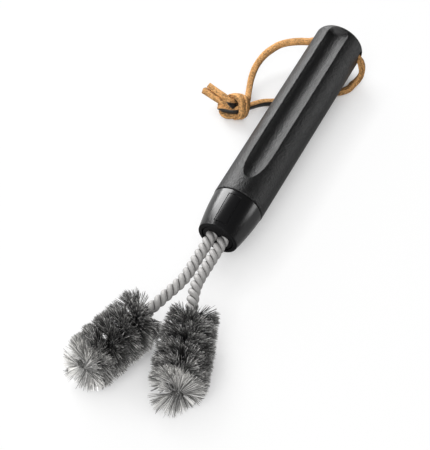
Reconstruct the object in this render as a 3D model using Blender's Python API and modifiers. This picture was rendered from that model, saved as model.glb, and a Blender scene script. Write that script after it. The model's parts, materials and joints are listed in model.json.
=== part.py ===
"""Two-headed grill cleaning brush: fluted handle, ferrule, twisted wire stems, steel bristles, hang cord.

The brush is modelled along the handle's axis: +Y runs from the ferrule's mouth to the handle's
tail, +Z is up, and y = 0 is the ferrule's front rim. One empty carries the brush and lays it on
its rest plane, z = 0, with the centre of its footprint at the origin. The cord lies beside it.
"""
import functools
import math
import random

import bmesh
import bpy
from mathutils import Matrix, Vector

# Driving dimensions, in metres
CLEARANCE = 0.0003

HANDLE_RADIUS = 0.0170
HANDLE_LENGTH = 0.1527
CROWN_LENGTH = 0.0048
CROWN_WIDTH = 0.0098
FLUTE_COUNT = 2
FLUTE_RADIUS = 0.0099
FLUTE_DEPTH = 0.0043
FLUTE_START = 0.0120
FLUTE_LEAD = 0.0208
FLUTE_SETBACK = 0.0046
FLUTE_TAIL_LEAD = 0.0042
SPIGOT_LENGTH = 0.0152
SPIGOT_WALL = 0.0020

FERRULE_LENGTH = 0.0272
FERRULE_FRONT_RADIUS = 0.0133
FERRULE_STEP = 0.0003
FERRULE_BULGE = 0.00055
FERRULE_RIM_ROUND = 0.0009
MOUTH_RADIUS = 0.0108

PLUG_RECESS = 0.0036
PLUG_LENGTH = 0.0205
PLUG_FLOOR = 0.0030

WIRE_DIAMETER = 0.0027
STEM_PITCH = 0.0220
STEM_STRAIGHT = 0.0287
STEM_BEND_RADIUS = 0.0400
LEFT_STEM_BEND = math.radians(17.9)
RIGHT_STEM_BEND = math.radians(20.3)
STEM_DROOP = math.radians(12)
LEFT_STEM_REACH = 0.0883
RIGHT_STEM_REACH = 0.0773
LEFT_TWIST_START = math.radians(170)
RIGHT_TWIST_START = math.radians(20)

HEAD_RADIUS = 0.0186
HEAD_LENGTH = 0.0550
HEAD_PITCH = 0.0206
RIBBON_THICKNESS = 0.0006
STRANDS_PER_EDGE = 100
STRAND_TAPER = 0.5
STRAND_SPLAY = math.radians(11)
REAR_LEAN = math.radians(4)
FRONT_LEAN = math.radians(40)
STRAND_UNEVENNESS = 0.0006
STRAND_PARTING = 0.0007
HEAD_FLAT = 0.0005

CORD_DIAMETER = 0.0040
CORD_FLAT = 0.0004
CORD_HOLE_DIAMETER = 0.0078
CORD_HOLE_SETBACK = 0.0077
KNOT_LENGTH = 0.0205
KNOT_THICKNESS = 0.0150
CORD_REST_TURN = math.radians(48)
KNOT_TURN = math.radians(28)

# The cord's way out through its hole: shares of the grip's radius sideways, and of the cord's slack
# in the hole away from where it rests at the mouth
HOLE_WAY = ((0.4, 0.8), (0.72, 0.5), (1.0, -0.9))

# The cord's routes: sideways and lengthways from the middle of the cord hole, and height over the
# rest plane. Each runs from the hole's mouth to the knot, or along a tail from the knot to its tip.
LEFT_ROUTE = (
    (-0.0198, -0.0024, 0.0193),
    (-0.0250, -0.0040, 0.0183),
    (-0.0300, -0.0062, 0.0173),
    (-0.0346, -0.0089, 0.0162),
    (-0.0386, -0.0129, 0.0150),
    (-0.0432, -0.0213, 0.0126),
    (-0.0451, -0.0302, 0.0093),
    (-0.0443, -0.0387, 0.0064),
    (-0.0418, -0.0468, 0.0052),
    (-0.0392, -0.0538, 0.0060),
)
RIGHT_ROUTE = (
    (0.0195, -0.0027, 0.0185),
    (0.0207, -0.0032, 0.0142),
    (0.0207, -0.0036, 0.0090),
    (0.0196, -0.0055, 0.0050),
    (0.0176, -0.0096, 0.0026),
    (0.0143, -0.0170, 0.0016),
    (-0.0051, -0.0351, 0.0016),
    (-0.0205, -0.0458, 0.0018),
    (-0.0294, -0.0530, 0.0040),
)
KNOT_PLACE = (-0.0414, -0.0660, 0.0078)
TAIL_ROUTES = (
    ((-0.0521, -0.0624, 0.0110), (-0.0646, -0.0608, 0.0115)),
    ((-0.0526, -0.0668, 0.0100), (-0.0667, -0.0655, 0.0095)),
)

# The knot's bands, as shares of its half length, half width and half thickness
FRONT_BAND_PLACE = 0.42
FRONT_BAND_SLANT = 0.12
REAR_BAND_PLACE = -0.08
REAR_BAND_SLANT = -0.2
LONG_BAND_DROP = 0.2
LONG_BAND_TILT = 0.35
KNOT_END_DEPTH = 0.65

# Fineness of the faceting
TURN_STEPS = 48
CUTTER_STEPS = 40
HOLE_STEPS = 24
CROWN_STEPS = 8
NOSE_STEPS = 14
TAIL_NOSE_STEPS = 8
FERRULE_STEPS = 8
RIM_STEPS = 4
BAND_STEPS = 20
POINTS_PER_TWIST = 12
LAY_STEPS = 60
STRAND_SEED = 11

# The quarters of a twist: the place of each wire in a stem, and of each corner of a ribbon
QUARTERS = ((1, 1), (-1, 1), (-1, -1), (1, -1))

# Sizes that follow from the ones above
HANDLE_TAIL = FERRULE_LENGTH + HANDLE_LENGTH
CORD_HOLE_PLACE = HANDLE_TAIL - CORD_HOLE_SETBACK
PLUG_RADIUS = MOUTH_RADIUS - CLEARANCE
PLUG_BACK = PLUG_RECESS + PLUG_LENGTH
STEM_SEAT = PLUG_BACK - PLUG_FLOOR - CLEARANCE - WIRE_DIAMETER / 2
SPIGOT_RADIUS = MOUTH_RADIUS + SPIGOT_WALL
SPIGOT_FRONT = FERRULE_LENGTH - SPIGOT_LENGTH
FLUTE_AXIS_HEIGHT = HANDLE_RADIUS - FLUTE_DEPTH + FLUTE_RADIUS
STRAND_SPACING = HEAD_LENGTH / STRANDS_PER_EDGE
CORD_SPACING = 2 * CORD_DIAMETER


def material(name, colour, metallic, roughness):
    """A plain Principled material."""
    made = bpy.data.materials.new(name)
    made.use_nodes = True
    made.diffuse_color = (*colour, 1)
    shader = made.node_tree.nodes["Principled BSDF"]
    shader.inputs["Base Color"].default_value = (*colour, 1)
    shader.inputs["Metallic"].default_value = metallic
    shader.inputs["Roughness"].default_value = roughness
    return made


def add_object(name, data, collection, parent=None, paint=None):
    """Link new object data into a collection."""
    made = bpy.data.objects.new(name, data)
    collection.objects.link(made)
    made.parent = parent
    if paint:
        data.materials.append(paint)
    return made


def evaluated_mesh(source):
    """The mesh that an object's curve or modifiers make, welded and in its own coordinates."""
    depsgraph = bpy.context.evaluated_depsgraph_get()
    mesh = bpy.data.meshes.new_from_object(source.evaluated_get(depsgraph))
    welded = bmesh.new()
    welded.from_mesh(mesh)
    bmesh.ops.remove_doubles(welded, verts=welded.verts, dist=1e-6)
    bmesh.ops.recalc_face_normals(welded, faces=welded.faces)
    welded.to_mesh(mesh)
    welded.free()
    return mesh


def applied(source, smooth_angle=math.radians(30)):
    """Turn an object into the plain mesh that its modifiers make."""
    mesh = evaluated_mesh(source)
    mesh.shade_smooth()
    mesh.set_sharp_from_angle(angle=smooth_angle)
    source.modifiers.clear()
    source.data = mesh
    return source


def turned(name, profile, collection, parent=None, paint=None, steps=TURN_STEPS, closed=False):
    """A solid turned about Y. The profile's (radius, y) points run from the tail end to the front."""
    outline = bmesh.new()
    points = [outline.verts.new((radius, along, 0)) for radius, along in profile]
    pairs = list(zip(points, points[1:]))
    if closed:
        pairs.append((points[-1], points[0]))
    for pair in pairs:
        outline.edges.new(pair)
    mesh = bpy.data.meshes.new(name)
    outline.to_mesh(mesh)
    outline.free()
    made = add_object(name, mesh, collection, parent, paint)
    screw = made.modifiers.new("Turn", "SCREW")
    screw.axis = "Y"
    screw.steps = steps
    screw.render_steps = steps
    screw.use_merge_vertices = True
    screw.merge_threshold = 1e-6
    return applied(made)


def cut(target, cutters):
    """Subtract each cutter from the target, then hide it."""
    for cutter in cutters:
        subtraction = target.modifiers.new("Cut", "BOOLEAN")
        subtraction.object = cutter
        subtraction.operation = "DIFFERENCE"
        subtraction.solver = "EXACT"
        cutter.hide_render = True
        cutter.display_type = "WIRE"
    return applied(target)


def tube(name, points, diameter, collection, parent=None, paint=None, roundness=1):
    """A round wire or cord through the points, with flat filled ends."""
    curve = bpy.data.curves.new(name, "CURVE")
    curve.dimensions = "3D"
    curve.bevel_depth = diameter / 2
    curve.bevel_resolution = roundness
    curve.use_fill_caps = True
    spline = curve.splines.new("POLY")
    spline.points.add(len(points) - 1)
    for control, point in zip(spline.points, points):
        control.co = (*point, 1)
    return add_object(name, curve, collection, parent, paint)


def arc(centre, radii, start, end, steps):
    """Points of an elliptical arc, as (radius, y), from one angle to another."""
    points = []
    for step in range(steps + 1):
        angle = start + (end - start) * step / steps
        points.append((centre[0] + radii[0] * math.cos(angle), centre[1] + radii[1] * math.sin(angle)))
    return points


def make_handle(parts, cutters, brush):
    """The moulded grip: a round bar with a crowned tail, long flutes, a cross hole and a front spigot."""
    paint = material("handle_plastic", (0.018, 0.018, 0.019), 0.0, 0.52)
    socket_floor = PLUG_BACK + CLEARANCE
    profile = [(0, HANDLE_TAIL)]
    profile += arc(
        (HANDLE_RADIUS - CROWN_WIDTH, HANDLE_TAIL - CROWN_LENGTH),
        (CROWN_WIDTH, CROWN_LENGTH),
        math.radians(90),
        0,
        CROWN_STEPS,
    )
    profile += [
        (HANDLE_RADIUS, FERRULE_LENGTH + CLEARANCE),
        (SPIGOT_RADIUS, FERRULE_LENGTH + CLEARANCE),
        (SPIGOT_RADIUS, SPIGOT_FRONT),
        (MOUTH_RADIUS, SPIGOT_FRONT),
        (MOUTH_RADIUS, socket_floor),
        (0, socket_floor),
    ]
    handle = turned("handle_grip", profile, parts, brush, paint)
    cutting = [flute_cutter(index, cutters, brush) for index in range(FLUTE_COUNT)]
    cutting.append(cord_hole_cutter(cutters, brush))
    return cut(handle, cutting)


def flute_cutter(index, cutters, brush):
    """A long bar that sinks a flute into the grip: its nose is slender in front, blunt at the tail."""
    emerge = math.asin((FLUTE_AXIS_HEIGHT - HANDLE_RADIUS) / FLUTE_RADIUS)
    front_nose = FLUTE_LEAD / math.cos(emerge)
    front = FERRULE_LENGTH + FLUTE_START + FLUTE_LEAD
    tail_nose = FLUTE_TAIL_LEAD / math.cos(emerge)
    tail = HANDLE_TAIL - FLUTE_SETBACK - FLUTE_TAIL_LEAD
    profile = [(0, tail + tail_nose)]
    profile += arc((0, tail), (FLUTE_RADIUS, tail_nose), math.radians(90), 0, TAIL_NOSE_STEPS)[1:]
    profile += arc((0, front), (FLUTE_RADIUS, front_nose), 0, math.radians(-90), NOSE_STEPS)[:-1]
    profile.append((0, front - front_nose))
    cutter = turned(f"flute_cutter_{index + 1}", profile, cutters, brush, steps=CUTTER_STEPS)
    turn = Matrix.Rotation(2 * math.pi * index / FLUTE_COUNT, 4, "Y")
    cutter.matrix_local = turn @ Matrix.Translation((0, 0, FLUTE_AXIS_HEIGHT))
    return cutter


def cord_hole_cutter(cutters, brush):
    """The cross hole for the cord, square to the flutes."""
    beyond = HANDLE_RADIUS + CORD_HOLE_DIAMETER
    radius = CORD_HOLE_DIAMETER / 2
    profile = [(0, beyond), (radius, beyond), (radius, -beyond), (0, -beyond)]
    cutter = turned("cord_hole_cutter", profile, cutters, brush, steps=HOLE_STEPS)
    turn = Matrix.Rotation(math.radians(90), 4, "Z")
    cutter.matrix_local = Matrix.Translation((0, CORD_HOLE_PLACE, 0)) @ turn
    return cutter


def make_ferrule(parts, brush):
    """The glossy collar: a hollow, slightly bulging cone over the grip's spigot, with a rounded rim."""
    paint = material("ferrule_plastic", (0.012, 0.012, 0.013), 0.0, 0.2)
    back_radius = HANDLE_RADIUS - FERRULE_STEP
    outer = []
    for step in range(FERRULE_STEPS + 1):
        share = 1 - step / FERRULE_STEPS
        straight = FERRULE_FRONT_RADIUS + (back_radius - FERRULE_FRONT_RADIUS) * share
        bulge = 4 * FERRULE_BULGE * share * (1 - share)
        outer.append((straight + bulge, FERRULE_RIM_ROUND + (FERRULE_LENGTH - FERRULE_RIM_ROUND) * share))
    rim_centre = (FERRULE_FRONT_RADIUS - FERRULE_RIM_ROUND, FERRULE_RIM_ROUND)
    rim = arc(rim_centre, (FERRULE_RIM_ROUND, FERRULE_RIM_ROUND), 0, math.radians(-90), RIM_STEPS)
    bore_radius = SPIGOT_RADIUS + CLEARANCE
    shoulder = SPIGOT_FRONT - CLEARANCE
    inner = [
        (MOUTH_RADIUS, 0),
        (MOUTH_RADIUS, shoulder),
        (bore_radius, shoulder),
        (bore_radius, FERRULE_LENGTH),
    ]
    return turned("ferrule", outer + rim[1:] + inner, parts, brush, paint, closed=True)


def make_plug(parts, cutters, brush):
    """The insert that grips the two stems, side by side in a blind slot, inside the ferrule."""
    paint = material("plug_plastic", (0.02, 0.02, 0.021), 0.0, 0.6)
    profile = [(0, PLUG_BACK), (PLUG_RADIUS, PLUG_BACK), (PLUG_RADIUS, PLUG_RECESS), (0, PLUG_RECESS)]
    plug = turned("stem_plug", profile, parts, brush, paint)
    radius = stem_radius() + CLEARANCE
    bore_end = PLUG_BACK - PLUG_FLOOR
    bore = [(0, bore_end), (radius, bore_end), (radius, -PLUG_RECESS), (0, -PLUG_RECESS)]
    bores = []
    for side, word in ((-1, "left"), (1, "right")):
        cutter = turned(f"{word}_stem_bore", bore, cutters, brush, steps=CUTTER_STEPS)
        cutter.location.x = side * stem_offset()
        bores.append(cutter)
    return cut(plug, bores)


def solved(measure, wanted, low, high):
    """Where between two values a growing measure reaches the wanted one, by halving."""
    for _ in range(40):
        middle = (low + high) / 2
        if measure(middle) < wanted:
            low = middle
        else:
            high = middle
    return high


def least_distance(straight, phase, pitch):
    """The least distance from a wire to a neighbour in its twist that lies a phase away.

    straight gives the distance across the twist at a turn between them; the rest is along it.
    """
    turns = [phase * step / LAY_STEPS for step in range(LAY_STEPS + 1)]
    return min(math.hypot(straight(turn), pitch * (phase - turn) / (2 * math.pi)) for turn in turns)


def wire_spacing(radius, phase, pitch):
    """The least distance between the middles of two wires of a twist."""
    return least_distance(lambda turn: 2 * radius * math.sin(turn / 2), phase, pitch)


def faceted(radius):
    """A lay's radius, grown so that the straight pieces between a wire's points stay as far out."""
    return radius / math.cos(math.pi / POINTS_PER_TWIST)


@functools.lru_cache
def stem_lay():
    """The lay of the bare stem, four wires that nearly touch: radius, and angle from the parting plane."""
    spacing = WIRE_DIAMETER + CLEARANCE
    radius = solved(lambda tried: wire_spacing(tried, math.pi / 2, STEM_PITCH), spacing, 0, 2 * spacing)
    return faceted(radius), math.pi / 4


@functools.lru_cache
def head_lay():
    """The lay in the head, where the ribbon of bristles parts the wires in two pairs."""
    spacing = WIRE_DIAMETER + CLEARANCE

    def opening(radius):
        phase = solved(lambda tried: wire_spacing(radius, tried, HEAD_PITCH), spacing, 0, math.pi)
        return (math.pi - phase) / 2

    def ribbon_spacing(radius):
        angle = opening(radius)
        return least_distance(lambda turn: radius * math.sin(turn), angle, HEAD_PITCH)

    off_ribbon = RIBBON_THICKNESS / 2 + CLEARANCE + WIRE_DIAMETER / 2
    radius = solved(ribbon_spacing, off_ribbon, WIRE_DIAMETER / 2, 2 * spacing)
    return faceted(radius), opening(radius)


def stem_radius():
    """The bare stem's outer radius."""
    return stem_lay()[0] + WIRE_DIAMETER / 2


def stem_offset():
    """How far each stem lies from the handle's axis: the two stand side by side."""
    return stem_radius() + CLEARANCE / 2


def stem_length(side):
    """A stem's length along its middle, from its seat in the plug to the head's end."""
    reach = LEFT_STEM_REACH if side < 0 else RIGHT_STEM_REACH
    return STEM_SEAT + STEM_STRAIGHT + reach


def stem_frame(side, distance):
    """The stem's middle line at a distance from its seated end: centre, forward, sideways and up.

    Each stem runs straight out of the ferrule, then bends outwards and a little down.
    """
    full_bend = LEFT_STEM_BEND if side < 0 else RIGHT_STEM_BEND
    straight = STEM_SEAT + STEM_STRAIGHT
    angle = min(max((distance - straight) / STEM_BEND_RADIUS, 0), full_bend)
    arm = max(distance - straight - STEM_BEND_RADIUS * full_bend, 0)
    out = STEM_BEND_RADIUS * (1 - math.cos(angle)) + arm * math.sin(angle)
    along = min(distance, straight) + STEM_BEND_RADIUS * math.sin(angle) + arm * math.cos(angle)
    outward = Vector((side * math.cos(STEM_DROOP), 0, -math.sin(STEM_DROOP)))
    up = Vector((side * math.sin(STEM_DROOP), 0, math.cos(STEM_DROOP)))
    centre = Vector((side * stem_offset(), STEM_SEAT - along, 0)) + out * outward
    forward = math.sin(angle) * outward - math.cos(angle) * Vector((0, 1, 0))
    return centre, forward, up.cross(forward), up


def twist_angle(side, distance):
    """The left-hand twist's angle at a distance along the stem."""
    start = LEFT_TWIST_START if side < 0 else RIGHT_TWIST_START
    head_start = stem_length(side) - HEAD_LENGTH
    turns = min(distance, head_start) / STEM_PITCH + max(distance - head_start, 0) / HEAD_PITCH
    return start - 2 * math.pi * turns


def head_share(side, distance):
    """0 on the bare stem and 1 in the head, easing over half a twist where the wires part."""
    share = (distance - stem_length(side) + HEAD_LENGTH) / (STEM_PITCH / 2) + 1
    share = min(max(share, 0), 1)
    return share * share * (3 - 2 * share)


def wire_points(side, quarter):
    """The path of the wire in one quarter of a stem's twist."""
    count = math.ceil(stem_length(side) / STEM_PITCH * POINTS_PER_TWIST)
    points = []
    for step in range(count + 1):
        distance = stem_length(side) * step / count
        centre, _, sideways, up = stem_frame(side, distance)
        share = head_share(side, distance)
        radius = stem_lay()[0] * (1 - share) + head_lay()[0] * share
        opening = stem_lay()[1] * (1 - share) + head_lay()[1] * share
        angle = math.atan2(quarter[1] * math.sin(opening), quarter[0] * math.cos(opening))
        angle += twist_angle(side, distance)
        points.append(centre + radius * (math.cos(angle) * sideways + math.sin(angle) * up))
    return points


def make_stem(side, word, parts, brush, paint):
    """The wires of one stem, each in one length from the plug to the head's end."""
    for index, quarter in enumerate(QUARTERS):
        points = wire_points(side, quarter)
        tube(f"{word}_stem_wire_{index + 1}", points, WIRE_DIAMETER, parts, brush, paint)


def ribbon_corners(side, distance):
    """The corners of the bristle ribbon's section at a distance along the stem."""
    centre, _, sideways, up = stem_frame(side, distance)
    angle = twist_angle(side, distance)
    broad = math.cos(angle) * sideways + math.sin(angle) * up
    thin = math.cos(angle) * up - math.sin(angle) * sideways
    broad *= head_lay()[0] + WIRE_DIAMETER / 2 + CLEARANCE
    thin *= RIBBON_THICKNESS / 2
    return [centre + across * broad + through * thin for across, through in QUARTERS]


def strand_lean(share):
    """How far a strand leans forward, by its share of the way along the head."""
    return FRONT_LEAN * share ** 5 - REAR_LEAN * (1 - share) ** 3


def make_bristles(side, word, parts, brush, paint):
    """One head's bristles: strands drawn out of both edges of a twisted ribbon, which the wires hold."""
    uneven = random.Random(STRAND_SEED + side)
    ribbon = bmesh.new()
    start = stem_length(side) - HEAD_LENGTH
    corners = ribbon_corners(side, start)
    section = ribbon.faces.new([ribbon.verts.new(corner) for corner in corners])
    roots = {}
    for step in range(STRANDS_PER_EDGE):
        distance = start + STRAND_SPACING * step
        middle = sum(corners, Vector()) / 4
        near_edge = (corners[0] - corners[1]).length / 4
        drawn = bmesh.ops.extrude_face_region(ribbon, geom=[section])["geom"]
        if step > 0:
            bmesh.ops.delete(ribbon, geom=[section], context="FACES_ONLY")
        section = next(item for item in drawn if isinstance(item, bmesh.types.BMFace))
        next_corners = ribbon_corners(side, distance + STRAND_SPACING)
        for vertex in section.verts:
            nearest = min(range(4), key=lambda corner: (vertex.co - corners[corner]).length)
            vertex.co = next_corners[nearest]
        for edge in section.edges:
            wall = next(face for face in edge.link_faces if face is not section)
            if (wall.calc_center_median() - middle).length > near_edge:
                roots[wall] = (distance + STRAND_SPACING / 2, step)
        corners = next_corners
    strands = bmesh.ops.extrude_discrete_faces(ribbon, faces=list(roots))["faces"]
    for tip, (distance, step) in zip(strands, roots.values()):
        draw_strand(tip, side, distance, step, uneven)
    bmesh.ops.recalc_face_normals(ribbon, faces=ribbon.faces)
    mesh = bpy.data.meshes.new(f"{word}_bristles")
    ribbon.to_mesh(mesh)
    ribbon.free()
    return add_object(f"{word}_bristles", mesh, parts, brush, paint)


def draw_strand(tip, side, distance, step, uneven):
    """Move a strand's end face out to the head's round outline, and make it thin.

    Where the two heads meet, a strand ends short of the plane halfway between them.
    """
    centre, forward, _, _ = stem_frame(side, distance)
    base = tip.calc_center_median()
    outward = base - centre
    outward -= outward.dot(forward) * forward
    start_radius = outward.length
    outward.normalize()
    share = (distance - stem_length(side) + HEAD_LENGTH) / HEAD_LENGTH
    lean = strand_lean(share) + (STRAND_SPLAY if step % 2 else -STRAND_SPLAY)
    length = HEAD_RADIUS - start_radius + uneven.uniform(-1, 1) * STRAND_UNEVENNESS
    direction = math.cos(lean) * outward + math.sin(lean) * forward
    if side * (base + length * direction).x < STRAND_PARTING:
        length = (base.x - side * STRAND_PARTING) / -direction.x
    end = base + length * direction
    for vertex in tip.verts:
        vertex.co = end + (vertex.co - base) * STRAND_TAPER


def lay_down(brush, parts):
    """Lay the brush on its heads and on the cord under the grip, its footprint centred on the origin."""
    ridge = (HANDLE_RADIUS ** 2 + FLUTE_AXIS_HEIGHT ** 2 - FLUTE_RADIUS ** 2) / (2 * FLUTE_AXIS_HEIGHT)
    head_middle, _, _, _ = stem_frame(1, stem_length(1) - HEAD_LENGTH / 2)
    grip_height = CORD_DIAMETER - CORD_FLAT + 2 * CLEARANCE + ridge
    head_height = HEAD_RADIUS - HEAD_FLAT
    rise = grip_height - head_height + head_middle.z
    brush.rotation_euler.x = math.asin(rise / (CORD_HOLE_PLACE - head_middle.y))
    bpy.context.view_layer.update()
    depsgraph = bpy.context.evaluated_depsgraph_get()
    corners = []
    for piece in parts.objects:
        shape = piece.evaluated_get(depsgraph)
        corners += [piece.matrix_world @ vertex.co for vertex in shape.to_mesh().vertices]
    low = Vector([min(corner[axis] for corner in corners) for axis in range(3)])
    high = Vector([max(corner[axis] for corner in corners) for axis in range(3)])
    brush.location = (-(low.x + high.x) / 2, -(low.y + high.y) / 2, -low.z - HEAD_FLAT)
    bpy.context.view_layer.update()


def press_flat(piece):
    """Flatten a soft piece where it lies on the rest plane."""
    to_world = piece.matrix_world
    from_world = to_world.inverted()
    for vertex in piece.data.vertices:
        place = to_world @ vertex.co
        place.z = max(place.z, 0)
        vertex.co = from_world @ place


def smooth_route(points, spacing):
    """Points at an even spacing along a smooth curve through the given ones."""
    ends = [points[0] * 2 - points[1]] + points + [points[-1] * 2 - points[-2]]
    fine = []
    for before, here, there, after in zip(ends, ends[1:], ends[2:], ends[3:]):
        for step in range(16):
            share = step / 16
            bend = 2 * before - 5 * here + 4 * there - after
            twist = -before + 3 * here - 3 * there + after
            fine.append(here + 0.5 * share * (there - before + share * (bend + share * twist)))
    fine.append(points[-1])
    lengths = [0]
    for first, second in zip(fine, fine[1:]):
        lengths.append(lengths[-1] + (second - first).length)
    count = max(round(lengths[-1] / spacing), 1)
    even = []
    for step in range(count + 1):
        wanted = lengths[-1] * step / count
        index = next((i for i in range(1, len(lengths)) if lengths[i] >= wanted - 1e-12), len(lengths) - 1)
        share = (wanted - lengths[index - 1]) / (lengths[index] - lengths[index - 1])
        even.append(fine[index - 1].lerp(fine[index], share))
    return even


def way_through_hole(side):
    """The cord's points from the grip's middle to the hole's mouth, where it rests forward and down."""
    slack = (CORD_HOLE_DIAMETER - CORD_DIAMETER) / 2 - CLEARANCE
    away = Vector((0, math.sin(CORD_REST_TURN), math.cos(CORD_REST_TURN))) * slack
    points = [Vector((side * CLEARANCE / 2, CORD_HOLE_PLACE, 0)) + away * HOLE_WAY[0][1]]
    for out, lift in HOLE_WAY:
        points.append(Vector((side * HANDLE_RADIUS * out, CORD_HOLE_PLACE, 0)) + away * lift)
    return points


def make_cord(parts, brush):
    """The hang cord: two stretches from the middle of the hole to the knot, the knot and its two tails."""
    paint = material("cord_leather", (0.36, 0.185, 0.075), 0.0, 0.85)
    hole = brush.matrix_world @ Vector((0, CORD_HOLE_PLACE, 0))
    ground = Vector((hole.x, hole.y, 0))
    knot = ground + Vector(KNOT_PLACE)
    ends = []
    for side, route, word in ((-1, LEFT_ROUTE, "left"), (1, RIGHT_ROUTE, "right")):
        free = [ground + Vector(point) for point in route]
        outward = (free[-2] - free[-1]).normalized()
        points = [brush.matrix_world @ point for point in way_through_hole(side)]
        points += free[:1] + smooth_route(free[1:], CORD_SPACING)
        points[-2] = free[-1] + outward * CORD_DIAMETER
        curve = tube("cord_curve", points, CORD_DIAMETER, parts, roundness=2)
        stretch = add_object(f"cord_{word}_stretch", evaluated_mesh(curve), parts, None, paint)
        bpy.data.objects.remove(curve)
        press_flat(stretch)
        ends.append((free[-1], outward))
    for index, route in enumerate(TAIL_ROUTES):
        root, tip = [ground + Vector(point) for point in route]
        outward = (tip - root).normalized()
        points = smooth_route([root, tip], CORD_SPACING)
        tube(f"cord_tail_{index + 1}", points, CORD_DIAMETER, parts, None, paint, roundness=2)
        ends.append((root, outward))
    make_knot(knot, ends, parts, paint)


def knot_band(centre, long_way, short_way, parts):
    """One closed band of cord round the knot, through the ends of two half axes."""
    angles = [2 * math.pi * step / BAND_STEPS for step in range(BAND_STEPS)]
    points = [centre + math.cos(angle) * long_way + math.sin(angle) * short_way for angle in angles]
    band = tube("knot_band", points, CORD_DIAMETER, parts, roundness=2)
    band.data.use_fill_caps = False
    band.data.splines[0].use_cyclic_u = True
    return band


def make_knot(knot, ends, parts, paint):
    """The overhand knot: bands of cord drawn tight round its core, and the four strands' short ends."""
    along = Vector((math.cos(KNOT_TURN), math.sin(KNOT_TURN), 0))
    beside = Vector((-math.sin(KNOT_TURN), math.cos(KNOT_TURN), 0))
    up = Vector((0, 0, 1))
    half_long = (KNOT_LENGTH - CORD_DIAMETER) / 2
    half_thick = (KNOT_THICKNESS - CORD_DIAMETER) / 2
    bpy.ops.mesh.primitive_ico_sphere_add(subdivisions=2, radius=1)
    body = bpy.context.object
    body.name = "cord_knot"
    body.data.name = "cord_knot"
    for other in list(body.users_collection):
        other.objects.unlink(body)
    parts.objects.link(body)
    shape = Matrix((half_long * along, half_thick * beside, half_thick * up)).transposed().to_4x4()
    body.data.transform(Matrix.Translation(knot) @ shape)
    body.data.materials.append(paint)
    curves = []
    for place, slant in ((FRONT_BAND_PLACE, FRONT_BAND_SLANT), (REAR_BAND_PLACE, REAR_BAND_SLANT)):
        centre = knot + half_long * place * along
        slanted = half_thick * beside + half_long * slant * along
        curves.append(knot_band(centre, slanted, half_thick * up, parts))
    centre = knot - half_thick * LONG_BAND_DROP * up
    curves.append(knot_band(centre, half_long * along, half_thick * (beside + LONG_BAND_TILT * up), parts))
    for joint, outward in ends:
        near = joint - outward * CLEARANCE
        inside = near.lerp(knot, KNOT_END_DEPTH)
        points = [inside, near - outward * CORD_DIAMETER / 2, near]
        curves.append(tube("knot_end", points, CORD_DIAMETER, parts, roundness=2))
    for curve in curves:
        joined = add_object("knot_piece", evaluated_mesh(curve), parts)
        bpy.data.objects.remove(curve)
        union = body.modifiers.new("Join", "BOOLEAN")
        union.object = joined
        union.operation = "UNION"
        union.solver = "EXACT"
    pieces = [modifier.object for modifier in body.modifiers]
    applied(body)
    for joined in pieces:
        bpy.data.objects.remove(joined)
    return body


def main():
    for item in list(bpy.data.objects):
        bpy.data.objects.remove(item)
    parts = bpy.data.collections.new("grill_cleaning_brush")
    cutters = bpy.data.collections.new("cutters")
    bpy.context.scene.collection.children.link(parts)
    bpy.context.scene.collection.children.link(cutters)
    brush = bpy.data.objects.new("brush", None)
    bpy.context.scene.collection.objects.link(brush)
    make_handle(parts, cutters, brush)
    make_ferrule(parts, brush)
    make_plug(parts, cutters, brush)
    steel_wire = material("stem_wire_steel", (0.55, 0.55, 0.54), 1.0, 0.38)
    steel_bristle = material("bristle_steel", (0.22, 0.22, 0.22), 1.0, 0.42)
    heads = []
    for side, word in ((-1, "left"), (1, "right")):
        make_stem(side, word, parts, brush, steel_wire)
        heads.append(make_bristles(side, word, parts, brush, steel_bristle))
    lay_down(brush, parts)
    for head in heads:
        press_flat(head)
    make_cord(parts, brush)


main()
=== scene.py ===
import json
import math
import random

import bpy
from mathutils import Euler, Matrix, Vector


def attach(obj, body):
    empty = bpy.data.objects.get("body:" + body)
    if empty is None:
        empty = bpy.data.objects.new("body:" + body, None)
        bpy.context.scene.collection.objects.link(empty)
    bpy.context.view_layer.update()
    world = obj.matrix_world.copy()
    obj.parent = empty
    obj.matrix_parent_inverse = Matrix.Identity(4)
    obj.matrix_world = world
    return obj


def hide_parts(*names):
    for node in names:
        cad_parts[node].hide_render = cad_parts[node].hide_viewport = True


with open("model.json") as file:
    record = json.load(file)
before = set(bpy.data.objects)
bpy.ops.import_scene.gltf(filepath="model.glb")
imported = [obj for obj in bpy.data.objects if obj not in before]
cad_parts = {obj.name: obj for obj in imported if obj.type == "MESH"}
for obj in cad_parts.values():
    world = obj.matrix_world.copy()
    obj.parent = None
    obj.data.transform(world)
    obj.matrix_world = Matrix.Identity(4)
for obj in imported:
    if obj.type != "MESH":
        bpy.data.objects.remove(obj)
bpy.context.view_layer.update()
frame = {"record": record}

bl_info = {
    "name": "Grill Cleaning Brush",
    "version": (1, 0, 0),
    "blender": (4, 5, 0),
    "location": "3D View > Sidebar > Grill Brush",
    "description": "Builds a two-headed wire grill brush with its leather hang cord on a plain stage",
    "category": "Add Mesh",
}

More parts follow.
